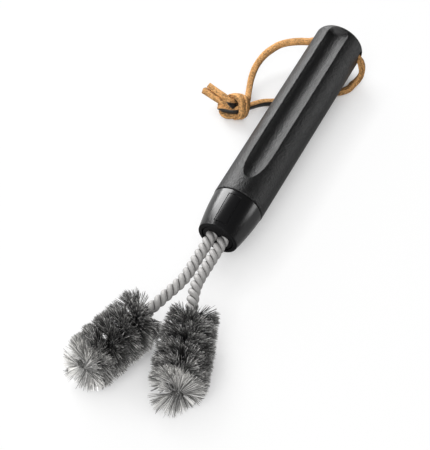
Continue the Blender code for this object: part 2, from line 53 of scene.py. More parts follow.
# The cord's routes, as in the solid model: from the middle of the cord hole sideways and lengthways,
# and height over the surface that the brush lies on.
LEFT_ROUTE = (
    (-0.0198, -0.0024, 0.0193),
    (-0.0250, -0.0040, 0.0183),
    (-0.0300, -0.0062, 0.0173),
    (-0.0346, -0.0089, 0.0162),
    (-0.0386, -0.0129, 0.0150),
    (-0.0432, -0.0213, 0.0126),
    (-0.0451, -0.0302, 0.0093),
    (-0.0443, -0.0387, 0.0064),
    (-0.0418, -0.0468, 0.0052),
    (-0.0392, -0.0538, 0.0060),
)
RIGHT_ROUTE = (
    (0.0195, -0.0027, 0.0185),
    (0.0207, -0.0032, 0.0142),
    (0.0207, -0.0036, 0.0090),
    (0.0196, -0.0055, 0.0050),
    (0.0176, -0.0096, 0.0028),
    (0.0143, -0.0170, 0.0022),
    (-0.0051, -0.0351, 0.0022),
    (-0.0205, -0.0458, 0.0022),
    (-0.0294, -0.0530, 0.0040),
)
KNOT_PLACE = (-0.0414, -0.0660, 0.0078)
TAIL_TIPS = ((-0.0644, -0.0614, 0.0113), (-0.0665, -0.0652, 0.0095))

# The cord's way from the grip's middle: share of the grip's radius, and share of the slack in the hole
HOLE_WAY = ((0.01, 0.8), (0.4, 0.8), (0.72, 0.5), (1.0, -0.9))

# How each end of the lace runs through the knot: along it, up it and out of its face
LEFT_THROUGH_KNOT = (
    (0.0062, 0.0030, -0.0010),
    (0.0020, -0.0040, 0.0000),
    (-0.0050, -0.0062, 0.0010),
    (-0.0096, -0.0035, -0.0020),
    (-0.0070, 0.0030, -0.0045),
    (0.0000, 0.0066, -0.0025),
    (0.0052, 0.0050, 0.0030),
    (0.0062, -0.0005, 0.0048),
    (0.0044, -0.0060, 0.0015),
    (0.0010, -0.0050, -0.0045),
    (0.0000, -0.0005, -0.0010),
    (-0.0050, 0.0003, 0.0030),
)
RIGHT_THROUGH_KNOT = (
    (0.0050, -0.0010, 0.0010),
    (-0.0020, -0.0028, 0.0030),
    (-0.0080, -0.0018, 0.0020),
    (-0.0108, 0.0000, -0.0015),
    (-0.0080, 0.0035, -0.0045),
    (-0.0030, 0.0068, -0.0010),
    (0.0018, 0.0052, 0.0050),
    (0.0036, 0.0000, 0.0064),
    (0.0030, -0.0058, 0.0040),
    (-0.0010, -0.0060, -0.0035),
    (-0.0005, 0.0016, -0.0020),
    (-0.0050, 0.0036, 0.0030),
)


# Where each bristle has its rings, from root to tip
STRAND_PARTS = (0, 0.5, 0.93, 1)

# The camera in the brush's own frame, and each lamp: place, width, height and the setting of its power
CAMERA_PLACE = (0.23291, -0.44239, 0.77697)
CAMERA_TURN = (math.radians(33.28), 0, math.radians(27.91))
CAMERA_LENS = 120
CAMERA_SENSOR = 36
LAMPS = {
    "left_light": ((-0.80, 0.56, 0.48), 0.7, 0.87, "key"),
    "right_light": ((0.90, 0.62, 0.16), 0.6, 0.38, "fill"),
    "front_light": ((0.15, -0.55, 1.0), 0.8, 0.62, "front"),
    "low_light": ((-0.10, -0.98, 0.26), 0.8, 0.4, "low"),
}
LAMP_TARGET = Vector((0, 0, 0.02))

# Faces round a turned piece, and how far a cutter reaches past what it cuts
FINE_ROUND = 256
CUTTER_MARGIN = 0.002
MERGE_DISTANCE = 1e-6
WHITE = (1, 1, 1, 1)

# Rings along a stem wire, and where its side counts as a groove, painted in shade: from half facing out to
# facing in
WIRE_RINGS = 330
GROOVE_START = 0.45
GROOVE_WIDTH = 0.6

# Bristles: distance of the roots from the stem's middle, and how much farther the foremost lie; how
# many stray, and how far; how far round long and short tufts fan; and the head's wide rear
ROOT_REACH = 0.0030
FRONT_ROOT_REACH = 0.0012
STRAY_SHARE = 0.02
STRAY_ANGLE = 0.4
LONG_FAN = 0.72
SHORT_FAN = 2.2
REAR_SHARE = 0.2
HALF_PARTING = 0.0006

# The lowest that a bristle and the lace may lie over the surface
LOWEST_BRISTLE = 0.0002
LOWEST_LACE = 0.0001

# How near its middle the knot starts, and how much of the lace's way in it is the first pass
KNOT_REACH = 0.012
FIRST_PASS = 0.022


def length(description, default):
    """A length that a user can set."""
    return bpy.props.FloatProperty(
        description=description, default=default, min=0, unit="LENGTH", precision=5
    )


def angle(description, degrees):
    """An angle that a user can set."""
    return bpy.props.FloatProperty(description=description, default=math.radians(degrees), subtype="ANGLE")


def power(description, default):
    """A light's strength that a user can set."""
    return bpy.props.FloatProperty(description=description, default=default, min=0)


def proportion(description, default):
    """A share from 0 to 1 that a user can set."""
    return bpy.props.FloatProperty(description=description, default=default, min=0, max=1)


def number(description, default):
    """A whole number that a user can set."""
    return bpy.props.IntProperty(description=description, default=default, min=1, max=9900)


def colour(description, default):
    """A colour that a user can set."""
    return bpy.props.FloatVectorProperty(
        description=description, default=default, size=3, min=0, max=1, subtype="COLOR"
    )


class GripSizes(bpy.types.PropertyGroup):
    radius: length("Radius of the grip", 0.0170)
    length: length("Length of the grip behind the collar", 0.1527)
    crown_length: length("How far the rounded tail reaches along the grip", 0.0048)
    crown_width: length("How far the rounded tail reaches in from the side", 0.0098)
    flute_radius: length("Radius of the long hollows", 0.0099)
    flute_depth: length("Depth of the long hollows", 0.0043)
    flute_start: length("Where the hollows start, behind the collar", 0.0120)
    flute_lead: length("Length of the hollows' rounded start", 0.0208)
    flute_setback: length("Where the hollows end, in front of the tail", 0.0046)
    flute_tail_lead: length("Length of the hollows' blunt end", 0.0042)
    flute_softness: length("How softly the hollows' edges are rounded", 0.0004)
    hole_setback: length("From the tail to the middle of the cord hole", 0.0077)
    hole_diameter: length("Diameter of the cord hole", 0.0078)


class CollarSizes(bpy.types.PropertyGroup):
    length: length("Length of the collar", 0.0272)
    front_radius: length("Radius of the collar at its mouth", 0.0133)
    step: length("How far the collar lies under the grip's surface", 0.0003)
    bulge: length("How far the collar's side swells", 0.00055)
    rim: length("Rounding of the collar's front rim", 0.0009)
    mouth_radius: length("Radius of the mouth", 0.0108)
    panel_width: length("Width of the bare panel's outline", 0.0088)
    panel_length: length("Length of the bare panel's outline", 0.0208)
    panel_start: length("From the rim to the bare panel", 0.0035)
    panel_line: length("Width and depth of the panel's outline", 0.0005)
    spigot_length: length("How far the grip reaches into the collar", 0.0152)
    spigot_wall: length("Wall of the grip inside the collar", 0.0020)
    plug_recess: length("From the rim back to the plug's face", 0.0005)
    plug_length: length("Length of the plug", 0.0236)
    plug_floor: length("Thickness of the plug behind the stems", 0.0030)


class StemSizes(bpy.types.PropertyGroup):
    wire: length("Diameter of the stem wires", 0.00375)
    wire_gap: length("Gap between the twisted wires", 0.00006)
    pitch: length("Length of one turn of the bare stem", 0.0100)
    straight: length("Straight length in front of the collar's seat", 0.0287)
    bend_radius: length("Radius of each stem's outward bend", 0.0400)
    left_reach: length("Length of the left stem past its straight part", 0.0893)
    right_reach: length("Length of the right stem past its straight part", 0.0785)
    seat: length("How deep the stems go behind the collar's rim", 0.01945)
    spread: length("Distance of each stem from the grip's axis", 0.00399)
    gap: length("Gap between pieces that touch", 0.0003)
    setback: length("From the head's front end back to the wires' ends", 0.0040)
    left_bend: angle("How far the left stem turns out", 17.9)
    right_bend: angle("How far the right stem turns out", 20.3)
    left_start: angle("Turn of the left stem's twist at its seat", 22)
    right_start: angle("Turn of the right stem's twist at its seat", 79)
    left_meet: angle("Turn of the left stem's twist where its head starts", 4)
    right_meet: angle("Turn of the right stem's twist where its head starts", 31)
    droop: angle("How far the stems' bend leans down", 12)


class BristleSizes(bpy.types.PropertyGroup):
    radius: length("Radius of the bristle heads", 0.0186)
    length: length("Length of the bristle heads along the stems", 0.0505)
    pitch: length("Length of one turn of the bristles' spiral", 0.0206)
    thickness: length("Diameter of a bristle", 0.00031)
    ribbon: length("Thickness of the row of bristles between the wires", 0.0006)
    count: number("Bristles in each head", 8400)
    tuft: number("Bristles in each tuft", 14)
    spread: angle("How widely the tufts fan out round the stem", 21)
    rake: angle("How widely the tufts lean forward and back", 7.5)
    scatter: angle("How far a bristle strays from its tuft", 4.5)
    rear_lean: angle("How far the rearmost bristles lean back", 4)
    front_lean: angle("How far the foremost bristles lean forward", 3)
    front_tilt: angle("How far the foremost bristles are turned to face up", 26)
    inner_reach: proportion("Reach of the short tufts between the spirals", 0.68)
    inner_share: proportion("Share of the tufts that are short", 0.22)
    front_trim: proportion("How much shorter the foremost bristles are", 0.04)
    front_share: proportion("Share of the head that its open front takes", 0.24)


class CordSizes(bpy.types.PropertyGroup):
    width: length("Width of the square lace", 0.0040)
    corner: length("Rounding of the lace's corners", 0.0008)
    rest_turn: angle("Where in the hole the lace lies, from straight up towards the tail", 48)
    knot_turn: angle("How far the knot is turned on the surface", 28)
    knot_tilt: angle("How far the knot's face leans back", 33)


class BrushColours(bpy.types.PropertyGroup):
    grip: colour("Matte plastic of the grip", (0.0045, 0.0045, 0.0048))
    collar: colour("Glossy plastic of the collar", (0.006, 0.006, 0.0065))
    plug: colour("Plastic inside the collar's mouth", (0.006, 0.006, 0.0065))
    wire: colour("Satin steel of the stem wires", (0.54, 0.53, 0.52))
    bristle: colour("Steel of the bristles", (0.45, 0.445, 0.435))
    leather: colour("Suede of the lace", (0.52, 0.275, 0.10))
    cut_leather: colour("Cut ends of the lace", (0.72, 0.62, 0.48))
    grain: colour("Black grain side of the lace", (0.016, 0.014, 0.013))
    floor: colour("Floor and backdrop", (1.0, 1.0, 1.0))


class StageSettings(bpy.types.PropertyGroup):
    key: power("Power of the large, low left light", 16.5)
    fill: power("Power of the right light", 2.7)
    front: power("Power of the high front light", 5.5)
    low: power("Power of the low front light", 6.5)
    sky: power("Brightness of the surroundings", 0.06)


class Socket:
    """A shader socket that takes part in Python expressions: each operator adds a Math node."""

    def __init__(self, paint, socket):
        self.paint = paint
        self.socket = socket

    def maths(self, operation, *others):
        inputs = dict(enumerate((self, *others)))
        return self.paint.node("ShaderNodeMath", {"operation": operation}, inputs)

    def __add__(self, other):
        return self.maths("ADD", other)

    __radd__ = __add__

    def __sub__(self, other):
        return self.maths("SUBTRACT", other)

    def __rsub__(self, other):
        return (self * -1) + other

    def __mul__(self, other):
        return self.maths("MULTIPLY", other)

    __rmul__ = __mul__

    def __pow__(self, other):
        return self.maths("POWER", other)

    def clamped(self):
        return self.maths("MAXIMUM", 0).maths("MINIMUM", 1)


class Nodes:
    """A node tree, filled node by node."""

    def __init__(self, tree):
        self.tree = tree

    def node(self, kind, settings=None, inputs=None, output=0):
        """Add a node: its settings first, then the values or links of its sockets."""
        made = self.tree.nodes.new(kind)
        for name, value in (settings or {}).items():
            if name == "stops":
                ramp = made.color_ramp
                while len(ramp.elements) < len(value):
                    ramp.elements.new(0.5)
                for element, (place, tone) in zip(ramp.elements, value):
                    element.position = place
                    element.color = (tone, tone, tone, 1)
            else:
                setattr(made, name, value)
        for key, value in (inputs or {}).items():
            if isinstance(value, Socket):
                self.tree.links.new(value.socket, made.inputs[key])
            else:
                made.inputs[key].default_value = value
        return Socket(self, made.outputs[output])

    def rays(self, *kinds):
        """Whether a ray is of each of these kinds."""
        return [self.node("ShaderNodeLightPath", output=f"Is {kind} Ray") for kind in kinds]

    def surface(self, output, factor, first, second):
        """Show a mix of two shaders."""
        mix = self.node("ShaderNodeMixShader", None, {0: factor, 1: first, 2: second})
        self.tree.links.new(mix.socket, self.tree.nodes[output].inputs["Surface"])


class Paint(Nodes):
    """A material on a Principled shader."""

    def __init__(self, name, **fixed):
        self.material = bpy.data.materials.new(name)
        self.material.use_nodes = True
        super().__init__(self.material.node_tree)
        self.shader = self.tree.nodes["Principled BSDF"]
        for socket, value in fixed.items():
            self.shader.inputs[socket.replace("_", " ").title()].default_value = value

    def dull(self):
        """Throw back less light than bare plastic does."""
        self.shader.inputs["Specular IOR Level"].default_value = 0.12

    def place(self):
        """Position on the piece, in metres."""
        return self.node("ShaderNodeTexCoord", output="Object")

    def noise(self, scale, detail=2.0, roughness=0.5, where=None):
        """Noise from 0 to 1, with features about 1 / scale metres wide."""
        inputs = {"Vector": where or self.place(), "Scale": scale, "Detail": detail, "Roughness": roughness}
        return self.node("ShaderNodeTexNoise", None, inputs)

    def ramp(self, factor, *stops):
        """A grey ramp of (place, tone) stops."""
        return self.node("ShaderNodeValToRGB", {"stops": stops}, {"Fac": factor})

    def mix(self, factor, first, second):
        """A colour between two colours."""
        colours = [value if isinstance(value, Socket) else (*value, 1) for value in (first, second)]
        inputs = {0: factor, 6: colours[0], 7: colours[1]}
        return self.node("ShaderNodeMix", {"data_type": "RGBA"}, inputs, output=2)

    def attribute(self, name, channel):
        """One channel of a colour attribute of the mesh."""
        whole = self.node("ShaderNodeAttribute", {"attribute_name": name}, output="Color")
        return self.node("ShaderNodeSeparateColor", None, {"Color": whole}, output=channel)

    def stretched(self, factors):
        """Position on the piece, squeezed along each axis."""
        return self.node("ShaderNodeMapping", None, {"Vector": self.place(), "Scale": factors})

    def bump(self, height, distance, strength=1.0):
        """Raise the surface by height times distance."""
        inputs = {"Height": height, "Distance": distance, "Strength": strength}
        self.feed("Normal", self.node("ShaderNodeBump", None, inputs))

    def feed(self, socket, value):
        self.tree.links.new(value.socket, self.shader.inputs[socket])


def shade(base, factor):
    """A colour made lighter or darker."""
    return tuple(min(channel * factor, 1) for channel in base)


def grip_plastic(colours):
    """Matte black plastic with a fine moulded grain, its tone and roughness varying a little at random."""
    paint = Paint("grip_plastic", metallic=0.0)
    grain = paint.noise(1000, 2, 0.6)
    broad = paint.noise(60, 2)
    paint.feed("Base Color", paint.mix(grain, shade(colours.grip, 0.6), shade(colours.grip, 1.6)))
    paint.feed("Roughness", 0.30 + 0.10 * grain + 0.04 * broad)
    paint.bump(grain, 0.0005, 1.0)
    return paint.material


def collar_plastic(colours):
    """Smooth satin black plastic with faint wipe marks, scuffed dull round its mouth."""
    paint = Paint("collar_plastic", metallic=0.0, coat_roughness=0.21)
    paint.dull()
    wipes = paint.noise(90, 4, 0.6, paint.stretched((1, 0.25, 1)))
    ripple = paint.noise(260, 1)
    along = paint.node("ShaderNodeSeparateXYZ", None, {"Vector": paint.place()}, output="Y")
    mouth = ((brush_place().translation.y + 0.0016 - along) * 900).clamped()
    paint.feed("Base Color", paint.mix(wipes, shade(colours.collar, 0.8), shade(colours.collar, 1.3)))
    paint.feed("Roughness", 0.24 + 0.08 * wipes + 0.35 * mouth)
    paint.feed("Coat Weight", 1 - mouth)
    paint.bump(ripple, 0.00001, 0.4)
    return paint.material


def plug_plastic(colours):
    """Dull black plastic in the collar's mouth."""
    paint = Paint("plug_plastic", metallic=0.0)
    paint.dull()
    grain = paint.noise(900, 2)
    paint.feed("Base Color", paint.mix(grain, shade(colours.plug, 0.6), shade(colours.plug, 1.2)))
    paint.feed("Roughness", 0.55 + 0.15 * grain)
    paint.bump(grain, 0.00008, 0.6)
    return paint.material


def wire_steel(colours):
    """Drawn satin steel, with painted shade greying the grooves between the wires and darkening the wires
    inside the heads.
    """
    paint = Paint("wire_steel", metallic=0.25)
    # Red of lay: how deep in a groove a part lies, where painted shade greys the steel
    groove = paint.attribute("lay", "Red")
    # Green of lay: how far inside a head a part lies, where painted shade darkens the steel
    inside = paint.attribute("lay", "Green")
    drawn = paint.noise(500, 3, 0.7)
    fine = paint.noise(2600, 2)
    # Painted shade: grey where the wire's side faces into a groove between the wires
    painted_groove_shade = (groove ** 2 * (0.5 + 0.5 * drawn)).clamped()
    bright = paint.mix(drawn, shade(colours.wire, 0.84), shade(colours.wire, 1.12))
    groove_shaded = paint.mix(painted_groove_shade, bright, shade(colours.wire, 0.2))
    # Painted shade: the wires inside the bristle heads go nearly black
    paint.feed("Base Color", paint.mix((inside * 1.2).clamped(), groove_shaded, shade(colours.wire, 0.05)))
    paint.feed("Roughness", 0.62 + 0.12 * drawn + 0.1 * painted_groove_shade)
    paint.bump(0.5 * fine + 0.5 * drawn, 0.00006, 0.6)
    return paint.material


def bristle_steel(colours):
    """Thin steel wire: each bristle differs a little at random, with painted shade at its root and painted
    highlights at its tip and in the head's open front.
    """
    paint = Paint("bristle_steel", metallic=0.45)
    own = paint.attribute("strand", "Red")
    # Green: from root to tip, for the painted root shade and tip highlights
    reach = paint.attribute("strand", "Green")
    # Blue: share along the head, for the painted light on its open front
    along = paint.attribute("strand", "Blue")
    front = paint.ramp(along, (0.74, 0), (0.9, 1))
    # Painted shade at the roots and painted highlights towards the tips, over each bristle's own random tone
    body = 0.08 * reach + 3 * own ** 7 * reach + 0.8 * own * reach ** 14
    # Painted light: the bristles of the head's open front are made lighter
    painted_front_light = (0.16 + 3 * own ** 2.5) * (0.3 + 0.7 * reach)
    tone = (body * (1 - front) + painted_front_light * front).clamped()
    paint.feed("Base Color", paint.mix(tone, shade(colours.bristle, 0.06), shade(colours.bristle, 2.2)))
    paint.feed("Roughness", 0.38 + 0.2 * own)
    return paint.material


def lace_leather(colours):
    """Suede lace: napped tan sides, one black grain side, and pale cut ends."""
    paint = Paint("lace_leather", metallic=0.0)
    black_side = paint.attribute("side", "Red")
    cut_end = paint.attribute("side", "Green")
    edge = paint.attribute("side", "Blue")
    nap = paint.noise(1000, 3, 0.6)
    patches = paint.noise(260, 3, 0.6)
    fibre = paint.noise(4000, 2, 0.6)
    rough = paint.ramp(0.7 * nap + 0.3 * patches, (0.42, 0), (0.60, 1))
    tan = paint.mix(rough, shade(colours.leather, 0.36), shade(colours.leather, 1.45))
    rubbed = paint.mix((edge * nap * 0.9).clamped(), tan, shade(colours.leather, 1.9))
    sides = paint.mix(black_side, rubbed, colours.grain)
    paint.feed("Base Color", paint.mix(cut_end, sides, colours.cut_leather))
    paint.feed("Roughness", 0.92 - 0.5 * black_side - 0.1 * nap)
    paint.bump(0.6 * nap + 0.4 * fibre, 0.0003, 0.7)
    return paint.material


def brush_place():
    """The brush's own frame: origin at the collar's front rim, +Y along the grip, +Z through a flute."""
    sizes = bpy.context.scene.grip_sizes
    tail = next(mount for mount in frame["record"]["mounts"] if mount["name"] == "tail_end_face")
    axis = Vector(tail["axis"])
    start = Vector(tail["pos_m"]) - axis * (sizes.length + bpy.context.scene.collar_sizes.length)
    return Matrix.Translation(start) @ Matrix.Rotation(math.asin(axis.z), 4, "X")


def hole_middle():
    """The middle of the cord hole."""
    scene = bpy.context.scene
    along = scene.grip_sizes.length + scene.collar_sizes.length - scene.grip_sizes.hole_setback
    return brush_place() @ Vector((0, along, 0))


def finished(piece, name, paint, replaced, settle=True, smooth=30):
    """Name a piece, put it in place, paint it, attach it to the root body and hide the solid model's parts
    that it stands for.
    """
    bpy.ops.object.select_all(action="DESELECT")
    piece.select_set(True)
    bpy.context.view_layer.objects.active = piece
    if settle:
        piece.data.transform(brush_place())
    piece.name = name
    piece.data.name = name
    piece.data.materials.clear()
    piece.data.materials.append(paint)
    bpy.ops.object.shade_smooth_by_angle(angle=math.radians(smooth))
    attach(piece, "root")
    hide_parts(*replaced)
    return piece


def spun(profile, around):
    """A piece turned about Y: a profile of (radius, along) points is drawn and spun in edit mode."""
    bpy.ops.object.select_all(action="DESELECT")
    bpy.ops.mesh.primitive_plane_add(size=0.001)
    bpy.ops.object.mode_set(mode="EDIT")
    bpy.ops.mesh.select_mode(type="VERT")
    bpy.ops.mesh.select_all(action="SELECT")
    bpy.ops.mesh.merge(type="CENTER")
    bpy.ops.transform.translate(value=(profile[0][0], profile[0][1], 0))
    for here, there in zip(profile, profile[1:]):
        step = (there[0] - here[0], there[1] - here[1], 0)
        bpy.ops.mesh.extrude_vertices_move(TRANSFORM_OT_translate={"value": step})
    bpy.ops.mesh.select_all(action="SELECT")
    bpy.ops.mesh.spin(steps=around, angle=math.tau, center=(0, 0, 0), axis=(0, 1, 0))
    bpy.ops.mesh.select_all(action="SELECT")
    bpy.ops.mesh.remove_doubles(threshold=MERGE_DISTANCE)
    bpy.ops.mesh.normals_make_consistent(inside=False)
    bpy.ops.object.mode_set(mode="OBJECT")
    return bpy.context.object


def arc(centre, radii, start, end, steps):
    """Points of an elliptical arc, as (radius, along), from one angle to another."""
    points = []
    for step in range(steps + 1):
        angle = start + (end - start) * step / steps
        points.append((centre[0] + radii[0] * math.cos(angle), centre[1] + radii[1] * math.sin(angle)))
    return points


def straight(start, end, steps):
    """Evenly spaced points after a start, up to and with an end."""
    return [
        tuple(start[axis] + (end[axis] - start[axis]) * step / steps for axis in range(2))
        for step in range(1, steps + 1)
    ]


def carve(piece, cutter):
    """Cut one piece out of another, and remove the cutter."""
    cutting = piece.modifiers.new("Cut", "BOOLEAN")
    cutting.object = cutter
    cutting.solver = "EXACT"
    bpy.context.view_layer.objects.active = piece
    bpy.ops.object.modifier_apply(modifier="Cut")
    bpy.data.objects.remove(cutter)


def flute_floor(angle, along, sizes, start):
    """The grip's radius on a flute's floor at an angle from the flute's middle, or none outside it."""
    height = sizes.radius - sizes.flute_depth + sizes.flute_radius
    emerge = math.asin((height - sizes.radius) / sizes.flute_radius)
    front = start + sizes.flute_start + sizes.flute_lead
    tail = start + sizes.length - sizes.flute_setback - sizes.flute_tail_lead
    back = max(front - along, 0) / sizes.flute_lead + max(along - tail, 0) / sizes.flute_tail_lead
    back *= math.cos(emerge)
    if back >= 1:
        return None
    round_here = sizes.flute_radius * math.sqrt(1 - back * back)
    off = height * math.sin(angle)
    if abs(off) >= round_here or math.cos(angle) < 0:
        return None
    return height * math.cos(angle) - math.sqrt(round_here ** 2 - off ** 2)


class GripOperator(bpy.types.Operator):
    """Make the matte grip: a crowned bar with two long hollows and a cross hole for the cord"""

    bl_idname = "grill_brush.grip"
    bl_label = "Grip"

    def execute(self, context):
        sizes = context.scene.grip_sizes
        collar = context.scene.collar_sizes
        gap = context.scene.stem_sizes.gap
        tail = collar.length + sizes.length
        spigot_radius = collar.mouth_radius + collar.spigot_wall
        spigot_front = collar.length - collar.spigot_length
        floor = collar.plug_recess + collar.plug_length + gap
        profile = [(0, tail), (0.003, tail)]
        profile += arc(
            (sizes.radius - sizes.crown_width, tail - sizes.crown_length),
            (sizes.crown_width, sizes.crown_length),
            math.radians(90),
            0,
            24,
        )
        front = collar.length + gap
        profile += straight(profile[-1], (sizes.radius, tail - 0.012), 18)
        profile += straight(profile[-1], (sizes.radius, front + 0.036), 30)
        profile += straight(profile[-1], (sizes.radius, front + 0.0004), 60)
        profile += [
            (sizes.radius - 0.0003, front),
            (spigot_radius, front),
            (spigot_radius, spigot_front),
            (collar.mouth_radius, spigot_front),
            (collar.mouth_radius, floor),
            (0, floor),
        ]
        grip = spun(profile, 288)
        for vertex in grip.data.vertices:
            x, along, z = vertex.co
            radius = math.hypot(x, z)
            if radius < spigot_radius + 0.001 and along < front + gap:
                continue
            for side in (1, -1):
                floor_radius = flute_floor(math.atan2(x, side * z), along, sizes, collar.length)
                if floor_radius is None:
                    continue
                blend = max(sizes.flute_softness - abs(radius - floor_radius), 0)
                lower = min(radius, floor_radius) - blend ** 2 / (4 * sizes.flute_softness)
                if lower < radius:
                    vertex.co.x *= lower / radius
                    vertex.co.z *= lower / radius
                    radius = lower
        hole = sizes.hole_diameter / 2
        rim = sizes.radius - 0.0006
        wide = hole + 0.0015
        flare = [(0, 0.02), (wide, 0.02), (hole, rim), (hole, -rim), (wide, -0.02), (0, -0.02)]
        cutter = spun(flare, 48)
        across = Matrix.Rotation(math.radians(90), 4, "Z")
        cutter.data.transform(Matrix.Translation((0, tail - sizes.hole_setback, 0)) @ across)
        carve(grip, cutter)
        paint = grip_plastic(context.scene.brush_colours)
        finished(grip, "grip", paint, ["handle_grip"], smooth=40)
        return {"FINISHED"}


class CollarOperator(bpy.types.Operator):
    """Make the glossy tapered collar, with the thin outline of a bare panel sunk in its side"""

    bl_idname = "grill_brush.collar"
    bl_label = "Collar"

    def execute(self, context):
        sizes = context.scene.collar_sizes
        gap = context.scene.stem_sizes.gap
        back = context.scene.grip_sizes.radius - sizes.step
        spigot = sizes.mouth_radius + sizes.spigot_wall + gap
        shoulder = sizes.length - sizes.spigot_length - gap

        def side(sunk, steps=44):
            points = []
            for step in range(steps + 1):
                share = 1 - step / steps
                radius = sizes.front_radius + (back - sizes.front_radius) * share
                radius += 4 * sizes.bulge * share * (1 - share) - sunk
                points.append((radius, sizes.rim + (sizes.length - 0.0003 - sizes.rim) * share))
            return points

        outer = side(0)
        rim_middle = (sizes.front_radius - sizes.rim, sizes.rim)
        rim = arc(rim_middle, (sizes.rim, sizes.rim), 0, math.radians(-90), 8)
        inner = [
            (sizes.mouth_radius + 0.0003, 0),
            (sizes.mouth_radius, 0.0003),
            (sizes.mouth_radius, shoulder),
            (spigot, shoulder),
            (spigot, sizes.length),
            (back - 0.0003, sizes.length),
        ]
        profile = outer + rim[1:] + inner
        collar = spun(profile + [profile[0]], FINE_ROUND)
        middle = sizes.panel_start + sizes.panel_length / 2
        outline = self.block(sizes.panel_width, sizes.panel_length, 0.012, middle, back)
        width = 2 * (sizes.panel_width / 2 - sizes.panel_line)
        carve(outline, self.block(width, sizes.panel_length - 2 * sizes.panel_line, 0.02, middle, back))
        core = side(sizes.panel_line, 20)
        behind = core[0][1] + CUTTER_MARGIN
        ends = [(0, behind), (core[0][0], behind)], [(core[-1][0], -CUTTER_MARGIN), (0, -CUTTER_MARGIN)]
        carve(outline, spun(ends[0] + core + ends[1], FINE_ROUND))
        carve(collar, outline)
        paint = collar_plastic(context.scene.brush_colours)
        finished(collar, "collar", paint, ["ferrule"], smooth=35)
        return {"FINISHED"}

    def block(self, width, length, height, along, over):
        """A block that lies across the collar's top."""
        bpy.ops.mesh.primitive_cube_add(size=1, location=(0, along, over), scale=(width, length, height))
        bpy.ops.object.transform_apply(location=True, scale=True)
        return bpy.context.object


class PlugOperator(bpy.types.Operator):
    """Make the plug that holds the two stems, just inside the collar's mouth"""

    bl_idname = "grill_brush.plug"
    bl_label = "Plug"

    def execute(self, context):
        collar = context.scene.collar_sizes
        gap = context.scene.stem_sizes.gap
        radius = collar.mouth_radius - gap
        front = collar.plug_recess
        back = front + collar.plug_length
        edge = 0.0006
        profile = [(0, back), (radius, back), (radius, front + edge), (radius - edge, front), (0, front)]
        plug = spun(profile, 128)
        stems = context.scene.stem_sizes
        bore = stems.spread + gap / 2
        depth = back - collar.plug_floor
        outside = front - 0.0016
        opening = [(bore, front + 0.0004), (bore + CUTTER_MARGIN, outside), (0, outside)]
        for side in (-1, 1):
            cutter = spun([(0, depth), (bore, depth)] + opening, 64)
            cutter.data.transform(Matrix.Translation((side * stems.spread, 0, 0)))
            carve(plug, cutter)
        paint = plug_plastic(context.scene.brush_colours)
        finished(plug, "plug", paint, ["stem_plug"], smooth=35)
        return {"FINISHED"}


def clamped(value):
    """A value kept between 0 and 1."""
    return min(max(value, 0), 1)


def pointing(angle, sideways, up):
    """The direction at an angle round a stem."""
    return math.cos(angle) * sideways + math.sin(angle) * up


def drawn(context, name, corners, faces, attribute, domain, notes):
    """A new piece from its corners and faces, with a note for its finish on each corner, on the bristles
    also for their painted shade and light.
    """
    mesh = bpy.data.meshes.new(name)
    mesh.from_pydata(corners, [], faces)
    marks = mesh.color_attributes.new(attribute, "FLOAT_COLOR", domain)
    marks.data.foreach_set("color", [value for note in notes for value in note])
    piece = bpy.data.objects.new(name, mesh)
    context.scene.collection.objects.link(piece)
    return piece


def solved(measure, wanted, low, high):
    """Where between two values a growing measure reaches the wanted one, by halving."""
    for _ in range(40):
        middle = (low + high) / 2
        if measure(middle) < wanted:
            low = middle
        else:
            high = middle
    return high


def least_distance(straight_part, phase, pitch):
    """The least distance from a wire to a neighbour in its twist that lies a phase away."""
    turns = [phase * step / 60 for step in range(61)]
    return min(math.hypot(straight_part(turn), pitch * (phase - turn) / math.tau) for turn in turns)


def wire_spacing(radius, phase, pitch):
    """The least distance between the middles of two wires of a twist."""
    return least_distance(lambda turn: 2 * radius * math.sin(turn / 2), phase, pitch)


def stem_lay():
    """How far each wire's middle lies from the bare stem's middle."""
    sizes = bpy.context.scene.stem_sizes
    spacing = sizes.wire + sizes.wire_gap
    return solved(lambda tried: wire_spacing(tried, math.pi, sizes.pitch), spacing, 0, 2 * spacing)


def head_lay():
    """How far it lies in the head, where the bristles part the wires."""
    sizes = bpy.context.scene.stem_sizes
    bristles = bpy.context.scene.bristle_sizes

    def parting(radius):
        return least_distance(lambda turn: radius * math.sin(turn), math.pi / 2, bristles.pitch)

    wanted = (bristles.ribbon + sizes.wire) / 2 + sizes.wire_gap
    return solved(parting, wanted, sizes.wire / 2, 2 * wanted)


def stem_length(side):
    """A stem's length along its middle, from its seat to the head's end."""
    sizes = bpy.context.scene.stem_sizes
    return sizes.seat + sizes.straight + (sizes.left_reach if side < 0 else sizes.right_reach)


def stem_frame(side, distance):
    """A stem's middle line at a distance from its seat: centre, forward, sideways and up."""
    sizes = bpy.context.scene.stem_sizes
    full_bend = sizes.left_bend if side < 0 else sizes.right_bend
    run = sizes.seat + sizes.straight
    angle = min(max((distance - run) / sizes.bend_radius, 0), full_bend)
    arm = max(distance - run - sizes.bend_radius * full_bend, 0)
    out = sizes.bend_radius * (1 - math.cos(angle)) + arm * math.sin(angle)
    along = min(distance, run) + sizes.bend_radius * math.sin(angle) + arm * math.cos(angle)
    outward = Vector((side * math.cos(sizes.droop), 0, -math.sin(sizes.droop)))
    up = Vector((side * math.sin(sizes.droop), 0, math.cos(sizes.droop)))
    centre = Vector((side * sizes.spread, sizes.seat - along, 0)) + out * outward
    forward = math.sin(angle) * outward - math.cos(angle) * Vector((0, 1, 0))
    return centre, forward, up.cross(forward), up


